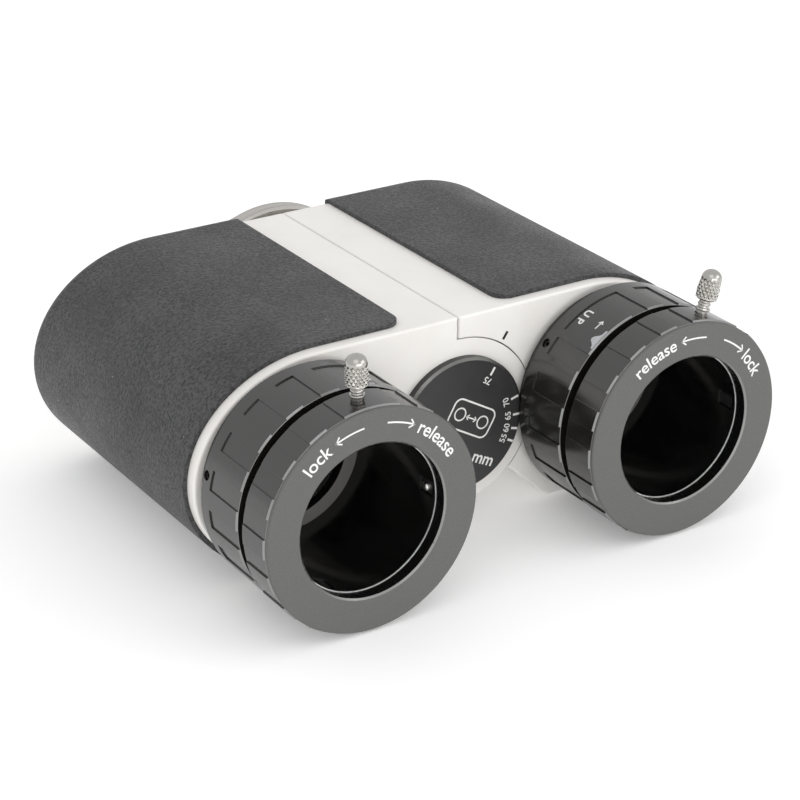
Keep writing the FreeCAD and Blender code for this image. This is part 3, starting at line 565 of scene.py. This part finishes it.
def knurled_rings(low, high):
    """Rings of a diamond knurl between two heights, fading out at both ends."""
    rings = []
    for index in range(KNURL_ROWS + 1):
        share = index / KNURL_ROWS
        height = low + (high - low) * share
        outside = KNURL_RADIUS + KNURL_SWELL * math.sin(math.pi * min(1, 0.1 + share))
        fade = min(1, 8 * share, 8 * (1 - share))

        def knurled(turn, rise=height / KNURL_PITCH, outside=outside, depth=KNURL_DEPTH * fade):
            lap = KNURL_COUNT * turn / (2 * math.pi)
            peak = min(triangle_wave(lap + rise), triangle_wave(lap - rise))
            return outside - depth * (1 - min(1, 1.5 * peak))

        rings.append((knurled, height))
    return rings


def make_lever_screws():
    """Lever screws with a necked shank and a diamond-knurled head under a smooth dome."""
    for word in SIDES:
        name = word + "_lever_screw"
        low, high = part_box(name)
        middle = (low + high) / 2 / MM
        outward = Vector((middle.x - axis_x(word), 0, middle.z)).normalized()
        origin = Vector((axis_x(word), middle.y, 0))
        tip = max(outward.dot(point - origin) for point in points_of(name))
        foot = tip - HEAD_LENGTH
        shoulder = tip - DOME_HEIGHT - 0.1
        rings = [(radius, foot + height) for radius, height in SHANK_PROFILE]
        rings += knurled_rings(foot + 0.3, shoulder)
        for index in range(1, DOME_ROWS + 1):
            lift = index / DOME_ROWS * math.pi / 2
            rings.append((max(POINT, KNURL_RADIUS * math.cos(lift)),
                          shoulder + 0.1 + DOME_HEIGHT * math.sin(lift)))
        form = bmesh.new()
        close_ends(form, sweep_rings(form, rings, LEVER_STEPS, pointing(outward, origin)))
        piece = new_piece(word + "_knurled_lever", form, NICKEL, word + "_lock", 50)
        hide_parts(word + "_lever_screw")


# ---------------------------------------------------------------- socket screws

GRUB_SOCKET = 0.42          # half the width across flats
COVER_SOCKET = 0.9
SCREW_STEPS = 48


def hex_screw(form, axis, points, socket):
    """A screw in the place of a plain one: chamfered head with a six-sided socket."""
    middle = sum(points, Vector()) / len(points)
    heights = [axis.dot(point - middle) for point in points]
    spread = [(point - middle - axis * height).length for point, height in zip(points, heights)]
    top, bottom = max(heights), min(heights)
    radius = max(spread)
    neck = min(height for height, width in zip(heights, spread) if width > radius * 0.97)
    depth = min(1.2, (top - bottom) * 0.6)

    def six_sided(turn):
        return socket / math.cos((turn + math.pi / 6) % (math.pi / 3) - math.pi / 6)

    rings = [(radius, neck), (radius, top - 0.15), (radius - 0.15, top), (six_sided, top),
             (six_sided, top - depth), (POINT, top - depth - 0.2)]
    if neck > bottom + 0.5:
        shank = radius * 0.6
        rings = [(shank, bottom), (shank, neck)] + rings
    close_ends(form, sweep_rings(form, rings, SCREW_STEPS, pointing(axis, middle)))


def make_hex_screws():
    """The grub screws point out from the eyepiece axis, and the cover screws face the telescope."""
    for word in SIDES:
        form = bmesh.new()
        for points in islands(word + "_grub_screws"):
            middle = sum(points, Vector()) / len(points)
            outward = Vector((middle.x - axis_x(word), 0, middle.z)).normalized()
            hex_screw(form, outward, points, GRUB_SOCKET)
        piece = new_piece(word + "_socket_grub_screws", form, BLACK_STEEL, word + "_collar", 40)
        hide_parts(word + "_grub_screws")
        form = bmesh.new()
        for points in islands(word + "_cover_screws"):
            hex_screw(form, Vector((0, 1, 0)), points, COVER_SOCKET)
        piece = new_piece(word + "_socket_cover_screws", form, BLACK_STEEL, word + "_half", 40)
        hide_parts(word + "_cover_screws")


# ---------------------------------------------------------------- telescope ring

THREAD_PITCH = 0.75
THREAD_DEPTH = 0.46
THREAD_ROWS = 60
RIB_COUNT = 180
RIB_DEPTH = 0.12
RING_STEPS = 360
GROOVE_DEPTH = 0.4
GROOVE_PITCH = 1.0
# One ridge between the grooves inside, as (inward, back from its start).
RIDGE = [(0, 0), (0.4, 0.3), (0.4, 0.5), (0, 0.7)]


def thread_rings(crest, length):
    """Rings of a helical thread that fades out at both ends of a length."""
    rings = []
    for index in range(THREAD_ROWS + 1):
        share = index / THREAD_ROWS
        height = 0.1 + (length - 0.5) * share
        depth = THREAD_DEPTH * min(1, 12 * share, 6 * (1 - share))

        def threaded(turn, laps=height / THREAD_PITCH, depth=depth):
            wave = triangle_wave(laps - turn / (2 * math.pi))
            return crest - THREAD_DEPTH + depth * min(1, 1.25 * wave)

        rings.append((threaded, height))
    return rings


def make_telescope_ring():
    """The telescope ring: a helical thread, a ribbed flange, and grooves against stray light inside."""
    name = "telescope_ring"
    low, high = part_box(name)
    tip, root = high.y / MM, low.y / MM
    corners = [(from_axis(point), point.y) for point in points_of(name)]
    rim = rim_radius(name)
    crest = MOUNTS["telescope_thread"]["dims"]["r_mm"]
    mouth = min(reach for reach, _ in corners)
    flange = min(y for reach, y in corners if reach > rim - 0.5)
    spigot = max(reach for reach, y in corners if y < root + 0.01)

    def ribbed(turn):
        return rim - RIB_DEPTH * triangle_wave(RIB_COUNT * turn / (2 * math.pi))

    rings = [(mouth, root), (spigot - 0.2, root), (spigot, root + 0.2), (spigot, flange),
             (rim - 0.4, flange), (rim, flange + 0.4), (rim, flange + 0.9), (ribbed, flange + 1.0),
             (ribbed, -1.0), (rim, -0.9), (rim, -0.4), (rim - 0.4, 0), (crest - THREAD_DEPTH, 0)]
    rings += thread_rings(crest, tip)
    rings += [(crest - 0.6, tip - 0.15), (crest - 1.2, tip), (mouth + 1.2, tip), (mouth + 0.6, tip - 0.6),
              (mouth + GROOVE_DEPTH, tip - 0.9)]
    ridge = tip - 0.9
    while ridge > root + 1.5:
        rings += [(mouth + GROOVE_DEPTH - inward, ridge - back) for inward, back in RIDGE]
        ridge -= GROOVE_PITCH
    form = bmesh.new()
    rows = sweep_rings(form, rings, RING_STEPS, pointing((0, 1, 0), Vector()))
    skin(form, rows[-1], rows[0])
    piece = new_piece("threaded_telescope_ring", form, SILVER, "left_half", 35)
    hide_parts("telescope_ring")


# ---------------------------------------------------------------- inside the sockets

SLEEVE_STEPS = 180
# The lip of a sleeve, in bright metal as a painted highlight, as (outward from the bore, forward of the
# sleeve's front).
SLEEVE_LIP = [(0.06, -0.3), (-0.06, -0.26), (-0.1, -0.18), (-0.09, -0.06), (-0.02, 0.04), (0.1, 0.06),
              (0.16, 0.02), (0.12, -0.2)]
TIP_RADIUS = 1.0
TIP_STEPS = 48


def make_sleeve_edges():
    """The bevel at the mouth of each sliding sleeve, in bright metal as a painted highlight along its edge.
    """
    for word in SIDES:
        front = station(word + "_eyepiece_sleeve", front=True)
        rings = [(socket_radius(word) + outward, front + forward) for outward, forward in SLEEVE_LIP]
        form = bmesh.new()
        rows = sweep_rings(form, rings, SLEEVE_STEPS, pointing((0, -1, 0), Vector((axis_x(word), 0, 0))))
        skin(form, rows[-1], rows[0])
        piece = new_piece(word + "_sleeve_mouth", form, LIP_HIGHLIGHT_METAL, word + "_sleeve", 40)


def make_pad_tip():
    """The sprung tip that shows on the first clamp pad of the left socket."""
    low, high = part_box("left_clamp_pad_1")
    middle = (low + high) / 2 / MM
    inward = (Vector((axis_x("left"), middle.y, 0)) - middle).normalized()
    face = max(inward.dot(point - middle) for point in points_of("left_clamp_pad_1"))
    rings = [(TIP_RADIUS, face - 0.2), (TIP_RADIUS, face + 0.25)]
    for step in range(1, 10):
        lift = math.radians(10 * step)
        rings.append((max(POINT, TIP_RADIUS * math.cos(lift)), face + 0.25 + 0.6 * math.sin(lift)))
    form = bmesh.new()
    close_ends(form, sweep_rings(form, rings, TIP_STEPS, pointing(inward, middle)))
    piece = new_piece("left_pad_tip", form, STEEL, "left_pad_1", 50)


# ---------------------------------------------------------------- flat marks

# A flat mark is (points, faces) with points (x, y, depth) and depth from 0 to 1. The on_... functions
# return a function that puts such a point on the object.

CAP_HEIGHT = 0.69           # of the letters in a line of size 1


def letters(words, bold, height=None, length=None):
    """A line of letters, centred, with that cap height or length. Bold thickens the strokes."""
    curve = bpy.data.curves.new("letters", "FONT")
    curve.body = words
    curve.size = 1.0
    curve.offset = bold
    curve.extrude = 0.5
    curve.resolution_u = 5
    item = bpy.data.objects.new("letters", curve)
    bpy.context.scene.collection.objects.link(item)
    bpy.context.view_layer.update()
    mesh = bpy.data.meshes.new_from_object(item.evaluated_get(bpy.context.evaluated_depsgraph_get()))
    points = [vertex.co.copy() for vertex in mesh.vertices]
    faces = [tuple(face.vertices) for face in mesh.polygons]
    bpy.data.objects.remove(item)
    bpy.data.curves.remove(curve)
    bpy.data.meshes.remove(mesh)
    left, right = min(p.x for p in points), max(p.x for p in points)
    scale = length / (right - left) if length else height / CAP_HEIGHT
    middle = (left + right) / 2
    points = [((p.x - middle) * scale, (p.y - CAP_HEIGHT / 2) * scale, p.z + 0.5) for p in points]
    return points, faces


def bar_faces(count, closed=False):
    """Faces of a bar made of columns of four points, open or joined to itself."""
    faces = []
    for index in range(count if closed else count - 1):
        a, b = 4 * index, 4 * ((index + 1) % count)
        faces += [(a, b, b + 1, a + 1), (a + 2, a + 3, b + 3, b + 2),
                  (a, a + 2, b + 2, b), (a + 1, b + 1, b + 3, a + 3)]
    if not closed:
        last = 4 * (count - 1)
        faces += [(0, 1, 3, 2), (last, last + 2, last + 3, last + 1)]
    return faces


def strip(path, width, closed=False):
    """A line of some width along a path of (x, y) points."""
    points = []
    count = len(path)
    for index, (x, y) in enumerate(path):
        before = path[index - 1] if closed or index else path[0]
        after = path[(index + 1) % count] if closed or index < count - 1 else path[-1]
        run = Vector((after[0] - before[0], after[1] - before[1])).normalized() * width / 2
        for depth in (0, 1):
            points += [(x - run.y, y + run.x, depth), (x + run.y, y - run.x, depth)]
    return points, bar_faces(count, closed)


def ribbon(columns):
    """A plate between y = 0 and the y of each (x, y) column."""
    points = []
    for x, y in columns:
        points += [(x, 0, 0), (x, 0, 1), (x, y, 0), (x, y, 1)]
    return points, bar_faces(len(columns))


def circle(x, radius, width):
    """A round line centred on the x axis."""
    path = []
    for angle in range(0, 360, 10):
        across, up = polar(radius, angle)
        path.append((x + across, up))
    return strip(path, width, closed=True)


def arrow(length, width, head):
    """Parts of an arrow along +x, centred: a shaft and two barbs."""
    tip = length / 2
    shaft = [(-tip + length * index / 12, 0) for index in range(13)]
    barb = [(tip - head, head * 0.8), (tip, 0), (tip - head, -head * 0.8)]
    return [strip(shaft, width), strip(barb, width)]


def flipped(marks, x_sign, y_sign):
    return [([(x_sign * x, y_sign * y, depth) for x, y, depth in points], faces) for points, faces in marks]


def polar(reach, angle):
    return reach * math.cos(math.radians(angle)), reach * math.sin(math.radians(angle))


def on_ring_face(x, front, radius, angle):
    """Onto a ring's front face, bent round its axis, with the tops outward."""

    def place(u, v, depth):
        turn = math.radians(angle) - u / radius
        reach = radius + v
        return Vector((x + reach * math.cos(turn), -(front + depth * RAISED), reach * math.sin(turn)))

    return place


def on_flat(x, z, front, angle):
    """Onto a plane that faces forward, turned by an angle."""
    cos, sin = polar(1, angle)

    def place(u, v, depth):
        return Vector((x + u * cos - v * sin, -(front + depth * RAISED), z + u * sin + v * cos))

    return place


def on_cylinder(x, radius, middle, angle):
    """Onto a ring's outside, with x round it and y forward."""

    def place(u, v, depth):
        turn = math.radians(angle) + u / radius
        reach = radius + depth * RAISED
        return Vector((x + reach * math.cos(turn), -(middle + v), reach * math.sin(turn)))

    return place


class Print:
    """Marks in one ink on one body, collected into one thin piece."""

    def __init__(self):
        self.form = bmesh.new()

    def stamp(self, marks, place):
        for points, faces in marks:
            verts = [self.form.verts.new(place(*point)) for point in points]
            for face in faces:
                self.form.faces.new([verts[index] for index in face])

    def finish(self, name, ink, body):
        return new_piece(name, self.form, ink, body)


# ---------------------------------------------------------------- marks on the rings

WORD_RADIUS = 20.3
WORD_LENGTHS = {"lock": 6.5, "release": 10.9}
WORD_BOLD = 0.01
# Words and arrows on the face rings, as (middle angle, word or length). A minus turns an arrow round.
RING_MARKS = {
    "left": [(127.3, "lock"), (105.2, -6.4), (72.8, 6.3), (44.6, "release")],
    "right": [(115.2, "release"), (86.8, -6.4), (54.8, 6.3), (33.8, "lock")],
}
PANEL_ANGLES = {"left": 69.0, "right": 117.5}       # of the low panel that the collar's label is on
# Where the black has worn off the collar's front lip, as (round the rim, forward).
LIP_SHAPE = [(0, -0.5), (0.6, -0.5), (1.2, -0.55), (1.7, -0.9), (2.1, -1.5), (2.5, -1.95), (3.0, -2.1),
             (3.4, -1.9), (3.8, -1.2), (4.3, -0.6), (4.9, -0.45)]


def mark_face_ring(word):
    """The words and arrows that say which way the lock ring locks and releases."""
    front = station(word + "_face_ring", front=True)
    ink = Print()
    for angle, what in RING_MARKS[word]:
        if isinstance(what, str):
            marks = [letters(what, WORD_BOLD, length=WORD_LENGTHS[what])]
        else:
            sign = math.copysign(1, what)
            marks = flipped(arrow(abs(what), 0.34, 1.1), sign, sign)
        ink.stamp(marks, on_ring_face(axis_x(word), front, WORD_RADIUS, angle))
    ink.finish(word + "_lock_marks", WHITE_INK, word + "_lock")


def mark_collar(word):
    """The direction label and its arrow on a low panel of the focusing collar."""
    name = word + "_focus_collar"
    back, rim = station(name), rim_radius(name)
    reaches = [from_axis(point, axis_x(word)) for point in points_of(name) if 4 < -point.y - back < 12]
    panel = min(reach for reach in reaches if reach > rim - 1)
    middle = PANEL_ANGLES[word]
    ink = Print()
    for letter, offset in (("U", -1.4), ("P", 4.6)):
        ink.stamp([letters(letter, 0.02, height=1.9)],
                  on_cylinder(axis_x(word), panel, back + 5.0, middle + offset))
    ink.stamp(flipped(arrow(2.3, 0.3, 0.75), -1, 1),
              on_cylinder(axis_x(word), panel, back + 10.0, middle + 1.4))
    ink.finish(word + "_up_marks", WHITE_INK, word + "_collar")


def wear_collar(word):
    """The bare spot on the collar's front lip beside the label."""
    name = word + "_focus_collar"
    bare = Print()
    bare.stamp([ribbon(LIP_SHAPE)], on_cylinder(axis_x(word), rim_radius(name),
                                                station(name, front=True) - CHAMFER,
                                                PANEL_ANGLES[word] + 2.5))
    piece = bare.finish(word + "_worn_lip", WORN_METAL, word + "_collar")


def make_ring_marks():
    for word in SIDES:
        mark_face_ring(word)
        mark_collar(word)
        wear_collar(word)


# ---------------------------------------------------------------- marks on the dial

# The eye-spacing scale, as {value: (angle, inner end, outer end)} of each line.
SCALE_MARKS = {75: (55.7, 12.0, 13.9), 70: (14.7, 12.5, 14.4), 65: (-2.3, 12.7, 14.4),
               60: (-15.7, 12.8, 14.4), 55: (-27.2, 12.9, 14.4)}
DIAL_TURN = -30.0           # of the pictogram
FRAME_HALF = (5.6, 3.2)     # half its frame's width and height
FRAME_CORNER = 1.6
INDEX_ANGLE = 55.7
INDEX_REACH = 20.6


def pictogram():
    """Two eyepieces and the arrow between them, in a rounded frame."""
    border = []
    for across, up, start in ((1, 1, 0), (-1, 1, 90), (-1, -1, 180), (1, -1, 270)):
        for step in range(7):
            x, y = polar(FRAME_CORNER, start + 15 * step)
            border.append((across * (FRAME_HALF[0] - FRAME_CORNER) + x,
                           up * (FRAME_HALF[1] - FRAME_CORNER) + y))
    marks = [strip(border, 0.38, closed=True), circle(-3.2, 1.35, 0.32), circle(3.2, 1.35, 0.32),
             strip([(-1.3, 0), (1.3, 0)], 0.3)]
    for sign in (-1, 1):
        marks.append(strip([(sign * 0.75, 0.55), (sign * 1.35, 0), (sign * 0.75, -0.55)], 0.3))
    return marks


def make_dial_marks():
    """The scale with a plain pictogram and its unit, and the index mark on the other half."""
    front = station("scale_dial", front=True)
    ink = Print()
    for value, (angle, inner, outer) in SCALE_MARKS.items():
        half = (outer - inner) / 2
        ink.stamp([strip([(-half, 0), (half, 0)], 0.5)],
                  on_flat(*polar(inner + half, angle), front, angle))
        ink.stamp([letters(str(value), 0.01, height=1.4)],
                  on_flat(*polar(inner - 1.3, angle), front, angle + 90))
    ink.stamp(pictogram(), on_flat(2.2, 1.3, front, DIAL_TURN))
    ink.stamp([letters("mm", 0.015, height=2.6)], on_flat(5.4, -8.6, front, DIAL_TURN + 4))
    ink.finish("dial_marks", WHITE_INK, "left_half")

    ink = Print()
    ink.stamp([strip([(-0.95, 0), (0.95, 0)], 0.62)],
              on_flat(*polar(INDEX_REACH, INDEX_ANGLE), station("right_housing", front=True), INDEX_ANGLE))
    ink.finish("index_mark", BLACK_INK, "right_half")


# ---------------------------------------------------------------- camera, light and floor

CAMERA_AZIMUTH = -32.865
CAMERA_ELEVATION = 25.044
CAMERA_ROLL = 0.36
CAMERA_TARGET = (-31.38, -105.0, 23.67)
CAMERA_DISTANCE = 454.57
LENS = 109.486
SENSOR = 36
# Each light's place and size in metres, and its power in watts.
LIGHTS = {
    "key": ((-0.5, -0.7, 1.0), (0.9, 0.9), 1.6),
    "fill": ((0.7, -0.8, 0.5), (0.8, 0.5), 1.8),
    "low": ((-0.1, -1.2, 0.15), (1.2, 0.4), 3.6),
}
LIGHT_AIM = (0, -0.05, 0)
SKY_STRENGTH = 0.84
FLOOR_HALF = 3.0            # metres


def make_camera():
    """A long lens, looking down at the eyepiece side from the left."""
    azimuth, elevation, roll = map(math.radians, (CAMERA_AZIMUTH, CAMERA_ELEVATION, CAMERA_ROLL))
    back = Vector((math.sin(azimuth) * math.cos(elevation),
                   -math.cos(azimuth) * math.cos(elevation),
                   math.sin(elevation)))
    right = (-back).cross(Vector((0, 0, 1))).normalized()
    up = right.cross(-back)
    rolled_right = right * math.cos(roll) + up * math.sin(roll)
    rolled_up = up * math.cos(roll) - right * math.sin(roll)
    turn = Matrix((rolled_right, rolled_up, back)).transposed().to_4x4()
    data = bpy.data.cameras.new("camera")
    data.sensor_width = SENSOR
    data.lens = LENS
    data.clip_start = 0.01
    data.clip_end = 100
    camera = bpy.data.objects.new("camera", data)
    place = (Vector(CAMERA_TARGET) + back * CAMERA_DISTANCE) * MM
    camera.matrix_world = Matrix.Translation(place) @ turn
    bpy.context.scene.collection.objects.link(camera)
    bpy.context.scene.camera = camera


def make_lights():
    """A bright even sky and three soft area lights."""
    scene = bpy.context.scene
    scene.view_settings.view_transform = "Standard"
    world = bpy.data.worlds.new("studio")
    scene.world = world
    world.use_nodes = True
    background = world.node_tree.nodes["Background"]
    background.inputs["Color"].default_value = (1, 1, 1, 1)
    background.inputs["Strength"].default_value = SKY_STRENGTH
    for name, (place, size, power) in LIGHTS.items():
        data = bpy.data.lights.new(name, "AREA")
        data.shape = "RECTANGLE"
        data.size, data.size_y = size
        data.energy = power
        light = bpy.data.objects.new(name, data)
        light.location = place
        light.rotation_euler = (Vector(LIGHT_AIM) - Vector(place)).to_track_quat("-Z", "Y").to_euler()
        scene.collection.objects.link(light)


def make_floor():
    """A plain white floor under the viewer."""
    low, _ = CAD_BOX
    form = bmesh.new()
    form.faces.new([form.verts.new((x * FLOOR_HALF, y * FLOOR_HALF, low.z))
                    for x, y in ((-1, -1), (1, -1), (1, 1), (-1, 1))])
    mesh = bpy.data.meshes.new("floor")
    form.to_mesh(mesh)
    form.free()
    paper = Shader("floor", (0.95, 0.95, 0.95), 0.9, Specular_IOR_Level=0.2,
                   Emission_Color=(1, 1, 1, 1), Emission_Strength=0.2)
    mesh.materials.append(paper.material)
    floor = bpy.data.objects.new("floor", mesh)
    bpy.context.scene.collection.objects.link(floor)


make_camera()
make_lights()
make_floor()
dress_frame()
make_lever_screws()
make_hex_screws()
make_telescope_ring()
make_ring_marks()
make_dial_marks()
make_sleeve_edges()
make_pad_tip()
soften_coverings()
